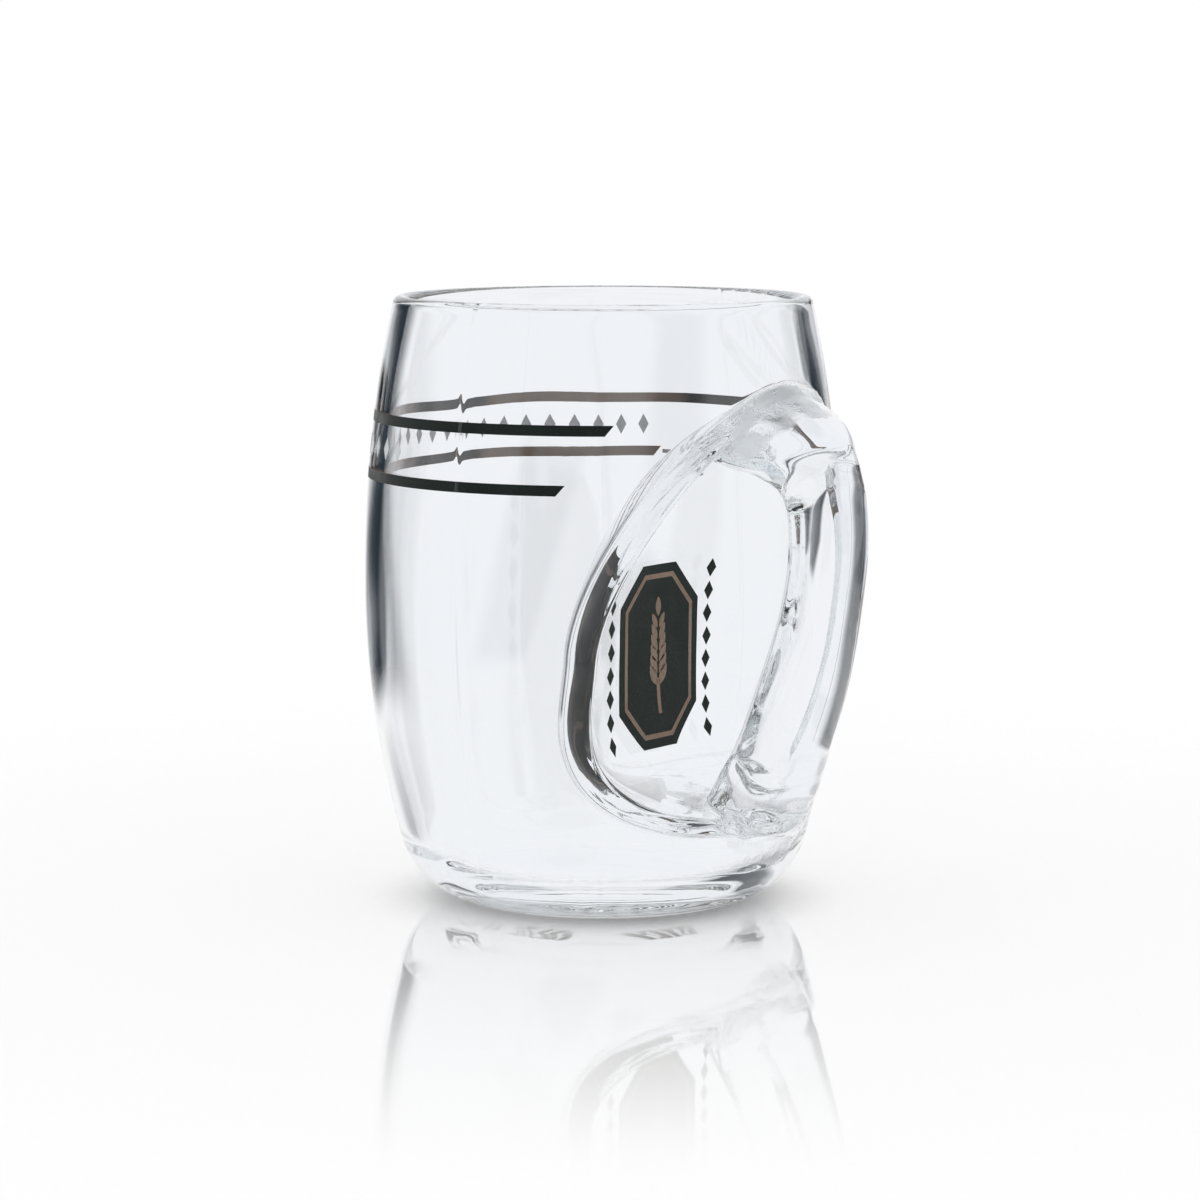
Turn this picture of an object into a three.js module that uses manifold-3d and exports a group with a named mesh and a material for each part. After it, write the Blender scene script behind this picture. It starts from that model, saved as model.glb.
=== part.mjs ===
// A one-litre glass beer mug: a barrel with a hollow for the hand pressed into its wall, a solid glass
// handle that bridges the hollow, and prints fired onto the outside.
// Millimetres, +Z up. The origin is the centre of the foot on the table, and the handle points to +X.
import * as THREE from 'three';
import { mergeVertices } from 'three/addons/utils/BufferGeometryUtils.js';
import Module from 'manifold-3d';

const wasm = await Module();
wasm.setup();

const degrees = THREE.MathUtils.degToRad;

// Barrel: two shallow arcs that meet at the belly, a rounded heel and a flat foot
const BODY_HEIGHT = 171;
const BELLY_RADIUS = 67.5;
const BELLY_LEVEL = 90.5;
const UPPER_ARC_RADIUS = 372;
const LOWER_ARC_RADIUS = 275;
const HEEL_RADIUS = 23;
const WALL = 4.5;
const BASE_THICKNESS = 9;
const INNER_HEEL_RADIUS = 16;

// Hollow for the hand: an egg-shaped outline, pointed towards the rim and square towards the foot, and a
// flat panel inside it
const HOLLOW_LEVEL = 76;
const HOLLOW_FOOT_LEVEL = 27;
const HOLLOW_TOP_BELOW_RIM = 25;
const HOLLOW_HALF_ANGLE = degrees(60.6);
const PANEL_TO_AXIS = 19;
const OUTLINE_TOP_POWER = 1.77;
const OUTLINE_FOOT_POWER = 3.6;
const SCOOP_POWER = 4;
const SCOOP_FOOT_POWER = 7;

// Handle: a flattened bar that flares where it is welded on, above and below the hollow
const GRIP_STANDOFF = 8.5;
const HEAD_SINK = 22;
const FOOT_SINK = 11.5;
const GRIP_WIDTH = 26.5;
const GRIP_THICKNESS = 18.2;
const HEAD_WIDTH = 54;
const FOOT_WIDTH = 42;
const WELD_THICKNESS = 20.5;
const HEAD_DROOP = 9;
const HEAD_LENGTH = 30;
const WELD_GAP = 0.3;

// Prints: two bands, a short filling line and an emblem on the wall of the hollow
const PRINT_THICKNESS = 0.2;
const PRINT_GAP = 0.3;
const BAND_HEIGHT = 2.9;
const UPPER_BAND_BELOW_RIM = 33.3;
const BAND_SPACING = 16;
const UPPER_BAND_START = degrees(53);
const UPPER_BAND_END = degrees(307);
const LOWER_BAND_START = degrees(110);
const LOWER_BAND_END = degrees(295.5);
const BAND_END_SLANT = degrees(2.2);
const FILL_MARK_START = degrees(102.5);
const FILL_MARK_END = degrees(108.5);
const FILL_MARK_HEIGHT = 1.1;
const EMBLEM_WIDTH = 38;
const EMBLEM_HEIGHT = 52;
const EMBLEM_CORNER = 11;
const EMBLEM_RISE = -6;
const FRAME_INSET = 2.6;
const FRAME_LINE = 1.4;
const EAR_HEIGHT = 33;
const EAR_WIDTH = 10;
const EAR_GRAINS = 6;
const EAR_TAPER = 0.45;
const STEM_WIDTH = 1.6;
const STEM_LENGTH = 8.25;

// Facets
const BODY_SIDES = 60;
const BARREL_STEPS = 12;
const HEEL_STEPS = 4;
const LIP_STEPS = 3;
const PLUG_SIDES = 56;
const PLUG_RINGS = 7;
const PLUG_MARGIN = 1.08;
const HANDLE_SIDES = 24;
const HANDLE_STEPS = 28;
const BAND_STEPS = 40;
const SLOPE_STEP = 0.05;
const MERGE_DISTANCE = 1e-4;

const hollowTop = BODY_HEIGHT - HOLLOW_TOP_BELOW_RIM;
const upperBandLevel = BODY_HEIGHT - UPPER_BAND_BELOW_RIM;
const lowerBandLevel = upperBandLevel - BAND_SPACING;

const glass = { color: 0xeef2f4, roughness: 0.05, metalness: 0, transparent: true, opacity: 0.35 };
const bandPrint = { color: 0x2a2c29, roughness: 0.35, metalness: 0.4 };
const darkPrint = { color: 0x12221f, roughness: 0.4, metalness: 0 };
const lustrePrint = { color: 0x6e6459, roughness: 0.4, metalness: 0.5 };
const palePrint = { color: 0xd9dcdd, roughness: 0.6, metalness: 0 };

// Where the heel's arc is centred so that it touches both the floor and the lower arc of the wall
function heelCentre(heelRadius, floorLevel, inset) {
  const reach = LOWER_ARC_RADIUS - inset - heelRadius;
  const drop = BELLY_LEVEL - floorLevel - heelRadius;
  const radius = BELLY_RADIUS - LOWER_ARC_RADIUS + Math.sqrt(reach * reach - drop * drop);
  return new THREE.Vector2(radius, floorLevel + heelRadius);
}

// Outer radius of the barrel at a level
function barrelRadius(level) {
  const heel = heelCentre(HEEL_RADIUS, 0, 0);
  const drop = BELLY_LEVEL - heel.y;
  const touch = BELLY_LEVEL - (drop * LOWER_ARC_RADIUS) / (LOWER_ARC_RADIUS - HEEL_RADIUS);
  if (level < touch) {
    const below = THREE.MathUtils.clamp(heel.y - level, 0, HEEL_RADIUS);
    return heel.x + Math.sqrt(HEEL_RADIUS * HEEL_RADIUS - below * below);
  }
  const arc = level > BELLY_LEVEL ? UPPER_ARC_RADIUS : LOWER_ARC_RADIUS;
  return BELLY_RADIUS - arc + Math.sqrt(arc * arc - (level - BELLY_LEVEL) ** 2);
}

const panelRadius = barrelRadius(HOLLOW_LEVEL);
const hollowHalfWidth = panelRadius * Math.sin(HOLLOW_HALF_ANGLE);

// Distance from the hollow's centre to its outline, in the direction whose cosine with +Z is given: half a
// superellipse above the centre and half of another below
function outlineReach(cosine) {
  const height = cosine > 0 ? hollowTop - HOLLOW_LEVEL : HOLLOW_LEVEL - HOLLOW_FOOT_LEVEL;
  const power = cosine > 0 ? OUTLINE_TOP_POWER : OUTLINE_FOOT_POWER;
  const sine = Math.sqrt(Math.max(1 - cosine * cosine, 0));
  return ((sine / hollowHalfWidth) ** power + (Math.abs(cosine) / height) ** power) ** (-1 / power);
}

// The scoop's surface, as a distance along +X over a point (y, z): the flat panel in the middle, and walls
// that rise more and more steeply to where the outline meets the barrel
function hollowX(y, z) {
  const rise = z - HOLLOW_LEVEL;
  const away = Math.hypot(y, rise);
  if (away === 0) return PANEL_TO_AXIS;
  const reach = outlineReach(rise / away);
  const edgeRadius = barrelRadius(HOLLOW_LEVEL + (rise * reach) / away);
  const edgeX = Math.sqrt(edgeRadius ** 2 - ((y * reach) / away) ** 2);
  const towardsFoot = Math.max(-rise / away, 0) ** 2;
  const power = THREE.MathUtils.lerp(SCOOP_POWER, SCOOP_FOOT_POWER, towardsFoot);
  return THREE.MathUtils.lerp(PANEL_TO_AXIS, edgeX, (away / reach) ** power);
}

// The direction out of the scoop's surface over a point (y, z)
function hollowNormal(y, z) {
  const riseY = hollowX(y + SLOPE_STEP, z) - hollowX(y - SLOPE_STEP, z);
  const riseZ = hollowX(y, z + SLOPE_STEP) - hollowX(y, z - SLOPE_STEP);
  return new THREE.Vector3(2 * SLOPE_STEP, -riseY, -riseZ).normalize();
}

function moveVertices(geometry, move) {
  const positions = geometry.getAttribute('position');
  const vertex = new THREE.Vector3();
  for (let i = 0; i < positions.count; i += 1) {
    vertex.fromBufferAttribute(positions, i);
    move(vertex, i);
    positions.setXYZ(i, vertex.x, vertex.y, vertex.z);
  }
  return geometry;
}

function arcPoints(centre, radius, from, to, steps) {
  const points = [];
  for (let i = 0; i <= steps; i += 1) {
    const angle = from + ((to - from) * i) / steps;
    const spoke = new THREE.Vector2(Math.cos(angle), Math.sin(angle));
    points.push(spoke.multiplyScalar(radius).add(centre));
  }
  return points;
}

// One side of the wall from its heel to the lip, set in from the outside by inset
function wallPoints(heelRadius, floorLevel, inset, topAngle) {
  const heel = heelCentre(heelRadius, floorLevel, inset);
  const lowerCentre = new THREE.Vector2(BELLY_RADIUS - LOWER_ARC_RADIUS, BELLY_LEVEL);
  const upperCentre = new THREE.Vector2(BELLY_RADIUS - UPPER_ARC_RADIUS, BELLY_LEVEL);
  const heelAngle = Math.atan2(heel.y - lowerCentre.y, heel.x - lowerCentre.x);
  const half = BARREL_STEPS / 2;
  return [
    ...arcPoints(heel, heelRadius, -Math.PI / 2, heelAngle, HEEL_STEPS),
    ...arcPoints(lowerCentre, LOWER_ARC_RADIUS - inset, heelAngle, 0, half).slice(1),
    ...arcPoints(upperCentre, UPPER_ARC_RADIUS - inset, 0, topAngle, half).slice(1),
  ];
}

const lipRadius = WALL / 2;
const lipAngle = Math.asin((BODY_HEIGHT - lipRadius - BELLY_LEVEL) / (UPPER_ARC_RADIUS - lipRadius));
const lipCentre = new THREE.Vector2(
  BELLY_RADIUS - UPPER_ARC_RADIUS + (UPPER_ARC_RADIUS - lipRadius) * Math.cos(lipAngle),
  BODY_HEIGHT - lipRadius,
);
const lip = arcPoints(lipCentre, lipRadius, lipAngle, lipAngle + Math.PI, 2 * LIP_STEPS);
const outerWall = [
  new THREE.Vector2(0, 0),
  ...wallPoints(HEEL_RADIUS, 0, 0, lipAngle),
  ...lip.slice(1, LIP_STEPS + 1),
];
const innerWall = [
  ...wallPoints(INNER_HEEL_RADIUS, BASE_THICKNESS, WALL, lipAngle),
  ...lip.slice(LIP_STEPS, -1).reverse(),
];
const axisFloor = new THREE.Vector2(0, BASE_THICKNESS);

function turned(profile) {
  return new THREE.LatheGeometry(profile, BODY_SIDES).rotateX(Math.PI / 2);
}

function solidFrom(geometry) {
  const bare = geometry.index ? geometry.toNonIndexed() : geometry.clone();
  bare.deleteAttribute('normal');
  bare.deleteAttribute('uv');
  const merged = mergeVertices(bare, MERGE_DISTANCE);
  return new wasm.Manifold(new wasm.Mesh({
    numProp: 3,
    vertProperties: Float32Array.from(merged.getAttribute('position').array),
    triVerts: Uint32Array.from(merged.index.array),
  }));
}

function geometryFrom(solid) {
  const mesh = solid.getMesh();
  const geometry = new THREE.BufferGeometry();
  const positions = Float32Array.from(mesh.vertProperties);
  geometry.setAttribute('position', new THREE.BufferAttribute(positions, 3));
  geometry.setIndex(new THREE.BufferAttribute(Uint32Array.from(mesh.triVerts), 1));
  return geometry;
}

// What the hollow takes away: the scoop's surface, ringed by its outline, and all that lies outside it.
// grow sets the surface off outwards
function hollowPlug(grow) {
  const quarter = Math.PI / 2 / PLUG_RINGS;
  const rings = Array.from({ length: PLUG_RINGS + 1 }, (_, i) => PLUG_MARGIN * Math.sin(i * quarter));
  const profile = [
    ...rings.map((share) => new THREE.Vector2(share, 0)),
    new THREE.Vector2(PLUG_MARGIN, 1),
    new THREE.Vector2(0, 1),
  ];
  const disc = new THREE.LatheGeometry(profile, PLUG_SIDES);
  return moveVertices(disc, (vertex) => {
    const share = Math.hypot(vertex.x, vertex.z);
    const reach = share > 0 ? outlineReach(vertex.z / share) : 0;
    const y = -vertex.x * reach;
    const z = HOLLOW_LEVEL + vertex.z * reach;
    if (vertex.y > 0) vertex.set(2 * BELLY_RADIUS, y, z);
    else vertex.set(hollowX(y, z), y, z).addScaledVector(hollowNormal(y, z), grow);
  });
}

// The space that the body takes up, inside included, set off outwards by grow
function envelope(grow) {
  const grown = outerWall.map((point) => new THREE.Vector2(point.x > 0 ? point.x + grow : 0, point.y));
  const barrel = turned([...grown, new THREE.Vector2(0, BODY_HEIGHT)]);
  return solidFrom(barrel).subtract(solidFrom(hollowPlug(grow)));
}

// The inside of the mug, up past the lip, less the bulge that the hollow makes in it
function cavity() {
  const mouth = innerWall.at(-1).clone().setY(2 * BODY_HEIGHT);
  const space = turned([axisFloor, ...innerWall, mouth, new THREE.Vector2(0, mouth.y)]);
  return solidFrom(space).subtract(solidFrom(hollowPlug(-WALL)));
}

function bodyGeometry() {
  return geometryFrom(envelope(0).subtract(cavity()));
}

// Full width of the bar on its way from the grip to the head or the foot
const headFlare = (share) => THREE.MathUtils.lerp(GRIP_WIDTH, HEAD_WIDTH, share);
const footFlare = (share) => THREE.MathUtils.lerp(GRIP_WIDTH, FOOT_WIDTH, share);

// The handle's stations from top to bottom: the share of the hollow's height below its top, the
// centre line's distance outside the barrel, and the bar's full width and thickness there
const handleStations = [
  [0.042, -HEAD_SINK, HEAD_WIDTH, WELD_THICKNESS],
  [0.09, -HEAD_SINK / 13, headFlare(0.67), WELD_THICKNESS],
  [0.195, GRIP_STANDOFF * 0.8, headFlare(0.12), GRIP_THICKNESS],
  [0.335, GRIP_STANDOFF, GRIP_WIDTH, GRIP_THICKNESS],
  [0.5, GRIP_STANDOFF * 0.68, footFlare(0.1), GRIP_THICKNESS],
  [0.66, GRIP_STANDOFF * 0.2, footFlare(0.5), GRIP_THICKNESS],
  [0.82, -FOOT_SINK / 4, footFlare(0.75), GRIP_THICKNESS],
  [0.94, -FOOT_SINK * 0.6, FOOT_WIDTH, WELD_THICKNESS],
  [1.065, -FOOT_SINK, FOOT_WIDTH, WELD_THICKNESS],
];

function handleGeometry() {
  const hollowHeight = hollowTop - HOLLOW_FOOT_LEVEL;
  const centreLine = new THREE.CatmullRomCurve3(handleStations.map(([share, standoff]) => {
    const level = hollowTop - share * hollowHeight;
    return new THREE.Vector3(barrelRadius(level) + standoff, 0, level);
  }));
  const sizes = new THREE.SplineCurve(handleStations.map(
    ([, , width, thickness]) => new THREE.Vector2(width / 2, thickness / 2),
  ));
  const bar = new THREE.CylinderGeometry(1, 1, 1, HANDLE_SIDES, HANDLE_STEPS);
  moveVertices(bar, (vertex) => {
    const along = THREE.MathUtils.clamp(0.5 - vertex.y, 0, 1);
    const centre = centreLine.getPoint(along);
    const tangent = centreLine.getTangent(along);
    const size = sizes.getPoint(along);
    const across = vertex.x * size.x;
    const outwards = vertex.z * size.y;
    const below = hollowTop - centre.z;
    const droop = HEAD_DROOP * Math.max(1 - below / HEAD_LENGTH, 0) * vertex.x * vertex.x;
    vertex.set(centre.x - tangent.z * outwards, across, centre.z + tangent.x * outwards - droop);
  });
  return geometryFrom(solidFrom(bar).subtract(envelope(WELD_GAP)));
}

// Thin skins over the whole outside of the body, one for each layer of print
const skins = [0, 1].map((layer) => {
  const under = PRINT_GAP + layer * (PRINT_THICKNESS + PRINT_GAP);
  return envelope(under + PRINT_THICKNESS).subtract(envelope(under));
});

// A print: the part of a layer's skin that lies inside a stencil
function printed(stencil, layer) {
  return geometryFrom(skins[layer].intersect(solidFrom(stencil)));
}

// A stencil for a strip round the barrel, with its ends slanted by the given angle
function bandStencil(level, height, start, end, slant) {
  const sector = new THREE.Shape();
  sector.absarc(0, 0, barrelRadius(level) + WALL, start, end, false);
  sector.absarc(0, 0, barrelRadius(level) - WALL, end, start, true);
  const ring = new THREE.ExtrudeGeometry(sector, {
    depth: height,
    curveSegments: BAND_STEPS,
    bevelEnabled: false,
  });
  return moveVertices(ring, (vertex) => {
    const turn = slant * (vertex.z / height - 0.5);
    vertex.applyAxisAngle(new THREE.Vector3(0, 0, 1), turn);
    vertex.z += level - height / 2;
  });
}

// A stencil for a flat drawing, x to the right and y up, carried through the wall of the hollow
function hollowStencil(shape) {
  const drawing = new THREE.ExtrudeGeometry(shape, { depth: BELLY_RADIUS, bevelEnabled: false });
  const middle = HOLLOW_LEVEL + EMBLEM_RISE;
  return moveVertices(drawing, (vertex) => vertex.set(vertex.z, vertex.x, middle + vertex.y));
}

// The emblem's eight-sided outline, set in by a distance
function emblemOutline(inset) {
  const cut = inset * Math.tan(Math.PI / 8);
  const top = EMBLEM_HEIGHT / 2 - inset;
  const side = EMBLEM_WIDTH / 2 - inset;
  const shoulder = EMBLEM_HEIGHT / 2 - EMBLEM_CORNER - cut;
  const brow = EMBLEM_WIDTH / 2 - EMBLEM_CORNER - cut;
  return [
    [side, -shoulder], [side, shoulder], [brow, top], [-brow, top],
    [-side, shoulder], [-side, -shoulder], [-brow, -top], [brow, -top],
  ].map(([x, y]) => new THREE.Vector2(x, y));
}

function emblemFrame() {
  const shape = new THREE.Shape(emblemOutline(FRAME_INSET));
  shape.holes.push(new THREE.Path(emblemOutline(FRAME_INSET + FRAME_LINE)));
  return shape;
}

// A barley ear: pairs of grains that narrow towards the tip, on a short straight stem
function barleyEar() {
  const foot = -EAR_HEIGHT / 2;
  const stemTop = foot + STEM_LENGTH;
  const stemEdge = STEM_WIDTH / 2;
  const grain = (EAR_HEIGHT - STEM_LENGTH) / (EAR_GRAINS + 0.5);
  const right = [new THREE.Vector2(stemEdge, foot), new THREE.Vector2(stemEdge, stemTop)];
  for (let i = 0; i < EAR_GRAINS; i += 1) {
    const base = stemTop + i * grain;
    const reach = (EAR_WIDTH / 2) * (1 - (EAR_TAPER * i) / EAR_GRAINS);
    right.push(new THREE.Vector2(reach * 0.75, base + grain * 0.35));
    right.push(new THREE.Vector2(reach, base + grain * 1.05));
    right.push(new THREE.Vector2(stemEdge, base + grain));
  }
  const tip = new THREE.Vector2(0, EAR_HEIGHT / 2);
  const left = right.map((point) => new THREE.Vector2(-point.x, point.y)).reverse();
  return new THREE.Shape([...right, tip, ...left]);
}

function named(name, geometry, finish) {
  const mesh = new THREE.Mesh(geometry, new THREE.MeshStandardMaterial(finish));
  mesh.name = name;
  return mesh;
}

const mug = new THREE.Group();
mug.add(named('glass_body', bodyGeometry(), glass));
mug.add(named('glass_handle', handleGeometry(), glass));
mug.add(named(
  'upper_band',
  printed(bandStencil(upperBandLevel, BAND_HEIGHT, UPPER_BAND_START, UPPER_BAND_END, BAND_END_SLANT), 0),
  bandPrint,
));
mug.add(named(
  'lower_band',
  printed(bandStencil(lowerBandLevel, BAND_HEIGHT, LOWER_BAND_START, LOWER_BAND_END, BAND_END_SLANT), 0),
  bandPrint,
));
mug.add(named(
  'fill_mark',
  printed(bandStencil(lowerBandLevel, FILL_MARK_HEIGHT, FILL_MARK_START, FILL_MARK_END, 0), 0),
  palePrint,
));
mug.add(named('emblem_field', printed(hollowStencil(new THREE.Shape(emblemOutline(0))), 0), darkPrint));
mug.add(named('emblem_frame', printed(hollowStencil(emblemFrame()), 1), lustrePrint));
mug.add(named('barley_ear', printed(hollowStencil(barleyEar()), 1), lustrePrint));

export default mug;
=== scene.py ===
# %% [markdown]
# # A glass beer mug
#
# The mug is a barrel of clear glass with a hollow for the hand pressed into its wall, a heavy handle
# welded across the hollow, and prints fired onto the outside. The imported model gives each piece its
# place and size. This lesson gives the glass its fine surface, the prints their ink, and the studio
# its light. All sizes below are in millimetres and turn into metres when a mesh is made.

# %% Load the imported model
import math

import bpy
import numpy as np
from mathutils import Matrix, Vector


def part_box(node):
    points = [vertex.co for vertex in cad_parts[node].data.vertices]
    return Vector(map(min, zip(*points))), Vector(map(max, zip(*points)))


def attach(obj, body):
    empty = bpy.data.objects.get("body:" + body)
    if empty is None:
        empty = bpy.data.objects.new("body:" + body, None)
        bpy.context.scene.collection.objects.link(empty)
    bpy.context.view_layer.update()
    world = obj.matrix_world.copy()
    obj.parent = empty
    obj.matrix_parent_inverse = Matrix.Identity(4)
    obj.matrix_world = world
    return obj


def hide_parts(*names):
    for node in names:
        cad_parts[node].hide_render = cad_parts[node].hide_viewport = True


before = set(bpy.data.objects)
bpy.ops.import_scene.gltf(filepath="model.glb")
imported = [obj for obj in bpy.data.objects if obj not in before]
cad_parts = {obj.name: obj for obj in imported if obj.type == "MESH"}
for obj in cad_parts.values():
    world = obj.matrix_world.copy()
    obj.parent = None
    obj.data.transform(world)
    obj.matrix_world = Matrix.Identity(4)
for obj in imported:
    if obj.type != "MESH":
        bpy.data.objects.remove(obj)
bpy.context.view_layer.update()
MM = 0.001


def in_mm(corner):
    """A corner in metres as an array in millimetres."""
    return np.array(corner) / MM


_, body_high = (in_mm(corner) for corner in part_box("glass_body"))

# %% [markdown]
# ## The camera
#
# The photograph was taken with a long lens from a little above the rim. Its rim and foot are ellipses,
# and how much they flatten gives the camera's height and distance. The camera is set first, because
# every later judgement is made through it.

# %% Camera
CAMERA_TURN = math.radians(35.5)
CAMERA_DISTANCE = 1164.4
CAMERA_HEIGHT = 227.2
CAMERA_PITCH = 0.122
FOCAL_PIXELS = 4131.0
FRAME_PIXELS = 1200.0
AXIS_PIXEL = 603.0

camera_data = bpy.data.cameras.new("camera")
camera_data.lens = camera_data.sensor_width * FOCAL_PIXELS / FRAME_PIXELS
camera_data.shift_x = 0.5 - AXIS_PIXEL / FRAME_PIXELS
camera_data.clip_start = 0.01
camera = bpy.data.objects.new("camera", camera_data)
camera.location = (
    CAMERA_DISTANCE * MM * math.sin(CAMERA_TURN),
    -CAMERA_DISTANCE * MM * math.cos(CAMERA_TURN),
    CAMERA_HEIGHT * MM,
)
camera.rotation_euler = (math.pi / 2 - CAMERA_PITCH, 0, CAMERA_TURN)
bpy.context.scene.collection.objects.link(camera)
bpy.context.scene.camera = camera
print("lens", round(camera_data.lens, 1), "mm")

# %% [markdown]
# ## From a grid of points to a mesh
#
# Every new piece is a sheet of points worked out at once as an array: rows one way, columns the other.
# One helper turns such a sheet into faces by arithmetic on the indices, wraps it where it closes on
# itself, and closes its ends with a fan. A closed sheet has a signed volume, and a negative one means
# that its faces point inwards, so the helper turns them round.


# %% Sheets of points
def sheet_quads(rows, columns, wrap_rows, wrap_columns):
    """One face for each cell between row i, i+1 and column j, j+1; a wrapped way joins last to first."""
    i = np.arange(rows if wrap_rows else rows - 1)
    j = np.arange(columns if wrap_columns else columns - 1)
    i, j = np.meshgrid(i, j, indexing="ij")
    a = i * columns + j
    b = i * columns + (j + 1) % columns
    c = (i + 1) % rows * columns + (j + 1) % columns
    d = (i + 1) % rows * columns + j
    return np.stack([a, b, c, d], -1).reshape(-1, 4)


def fan(ring, centre, reverse):
    """Triangles from a centre to each side of a closed ring of vertex numbers."""
    ahead = np.roll(ring, -1)
    middle = np.full_like(ring, centre)
    first, second = (ahead, ring) if reverse else (ring, ahead)
    return np.stack([middle, first, second], -1)


def tube(points):
    """A closed skin over a sheet whose columns wrap: its first and last row are closed by fans."""
    rows, columns = points.shape[:2]
    vertices = points.reshape(-1, 3)
    quads = sheet_quads(rows, columns, False, True)
    ends = np.stack([points[0].mean(0), points[-1].mean(0)])
    first = fan(np.arange(columns), len(vertices), True)
    last = fan(np.arange(columns) + (rows - 1) * columns, len(vertices) + 1, False)
    return np.concatenate([vertices, ends]), [quads, first, last]


def joined(shapes):
    """Several closed skins as one list of vertices and faces."""
    vertices, faces, count = [], [], 0
    for points, groups in shapes:
        vertices.append(points)
        faces += [group + count for group in groups]
        count += len(points)
    return np.concatenate(vertices), faces


# %% From arrays to an object
def signed_volume(vertices, faces):
    """A sixth of the sum of a . (b x c) over the triangles, which is the volume inside if they face out."""
    total = 0.0
    for group in faces:
        for k in range(1, group.shape[1] - 1):
            a, b, c = vertices[group[:, 0]], vertices[group[:, k]], vertices[group[:, k + 1]]
            total += np.einsum("ij,ij->", a, np.cross(b, c)) / 6
    return total


def make_piece(name, shape, values=None):
    """A mesh object at the origin from vertices in mm and groups of faces; values are kept per vertex."""
    vertices, faces = shape
    if signed_volume(vertices, faces) < 0:
        faces = [group[:, ::-1] for group in faces]
    mesh = bpy.data.meshes.new(name)
    corners = np.concatenate([group.ravel() for group in faces])
    totals = np.concatenate([np.full(len(group), group.shape[1]) for group in faces])
    mesh.vertices.add(len(vertices))
    mesh.vertices.foreach_set("co", (vertices * MM).astype(np.float32).ravel())
    mesh.loops.add(len(corners))
    mesh.loops.foreach_set("vertex_index", corners.astype(np.int32))
    mesh.polygons.add(len(totals))
    mesh.polygons.foreach_set("loop_start", (np.cumsum(totals) - totals).astype(np.int32))
    mesh.polygons.foreach_set("loop_total", totals.astype(np.int32))
    mesh.polygons.foreach_set("use_smooth", np.ones(len(totals), bool))
    mesh.update(calc_edges=True)
    for key, value in (values or {}).items():
        mesh.attributes.new(key, "FLOAT", "POINT").data.foreach_set("value", value.astype(np.float32))
    piece = bpy.data.objects.new(name, mesh)
    bpy.context.scene.collection.objects.link(piece)
    volume = round(abs(signed_volume(vertices, faces)) / 1000, 2)
    print(name, "has", len(vertices), "vertices and holds", volume, "cc")
    return piece


# %% [markdown]
# ## The barrel and the hollow
#
# The barrel's wall is two shallow arcs that meet at the belly, with a round heel below. The hollow is a
# scoop: within an egg-shaped outline there is a flat panel nearer to the axis, and walls that rise from it
# more and more steeply to the outline. The outline is half a superellipse above its middle, pointed
# towards the rim, and half of a squarer one below, set in a little because the rounded edge is wider
# than a sharp one. All are plain formulas, so the same functions place the glass and the emblem.

# %% The barrel as a formula
BODY_HEIGHT = round(body_high[2])
BELLY_RADIUS = round(body_high[1], 1)
BELLY_LEVEL = 90.5
UPPER_ARC_RADIUS = 372.0
LOWER_ARC_RADIUS = 275.0
HEEL_RADIUS = 23.0


def heel_centre(heel_radius, floor_level, inset):
    """Radius and level of the centre of the arc that touches both the floor and the lower arc."""
    reach = LOWER_ARC_RADIUS - inset - heel_radius
    drop = BELLY_LEVEL - floor_level - heel_radius
    return BELLY_RADIUS - LOWER_ARC_RADIUS + math.sqrt(reach**2 - drop**2), floor_level + heel_radius


def barrel_radius(z):
    """Outer radius: the heel's circle below the level where it touches the wall, then the two arcs."""
    centre, level = heel_centre(HEEL_RADIUS, 0, 0)
    touch = BELLY_LEVEL - (BELLY_LEVEL - level) * LOWER_ARC_RADIUS / (LOWER_ARC_RADIUS - HEEL_RADIUS)
    below = np.clip(level - z, 0, HEEL_RADIUS)
    arc = np.where(z > BELLY_LEVEL, UPPER_ARC_RADIUS, LOWER_ARC_RADIUS)
    wall = BELLY_RADIUS - arc + np.sqrt(arc**2 - (z - BELLY_LEVEL) ** 2)
    return np.where(z < touch, centre + np.sqrt(HEEL_RADIUS**2 - below**2), wall)


print("the barrel is", BODY_HEIGHT, "mm high and", 2 * BELLY_RADIUS, "mm across the belly")

# %% The hollow as a formula
HOLLOW_LEVEL = 76.0
HOLLOW_FOOT_LEVEL = 27.0
HOLLOW_TOP = BODY_HEIGHT - 25.0
HOLLOW_HALF_ANGLE = math.radians(60.6)
PANEL_TO_AXIS = 19.0
OUTLINE_TOP_POWER = 1.77
OUTLINE_FOOT_POWER = 3.6
SCOOP_POWER = 4.0
SCOOP_FOOT_POWER = 11.0
OUTLINE_INSET = 3.5
RIPPLE_HEIGHT = 0.12
RIPPLE_LENGTH = 3.4
RIPPLE_SHARES = (0.72, 0.82)
SCOOP_LIMIT = 1.6

panel_radius = float(barrel_radius(np.array(HOLLOW_LEVEL)))
hollow_half_width = panel_radius * math.sin(HOLLOW_HALF_ANGLE)


def outline_reach(cosine):
    """Distance from the hollow's middle to its outline, in the direction with that cosine to the vertical:
    (|sine / half width|^p + |cosine / height|^p)^(-1/p), with one height and p above and others below,
    less the width over which the edge is rounded off."""
    height = np.where(cosine > 0, HOLLOW_TOP - HOLLOW_LEVEL, HOLLOW_LEVEL - HOLLOW_FOOT_LEVEL)
    power = np.where(cosine > 0, OUTLINE_TOP_POWER, OUTLINE_FOOT_POWER)
    sine = np.sqrt(np.maximum(1 - cosine**2, 0))
    reach = ((sine / hollow_half_width) ** power + (np.abs(cosine) / height) ** power) ** (-1 / power)
    return reach - OUTLINE_INSET


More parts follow.
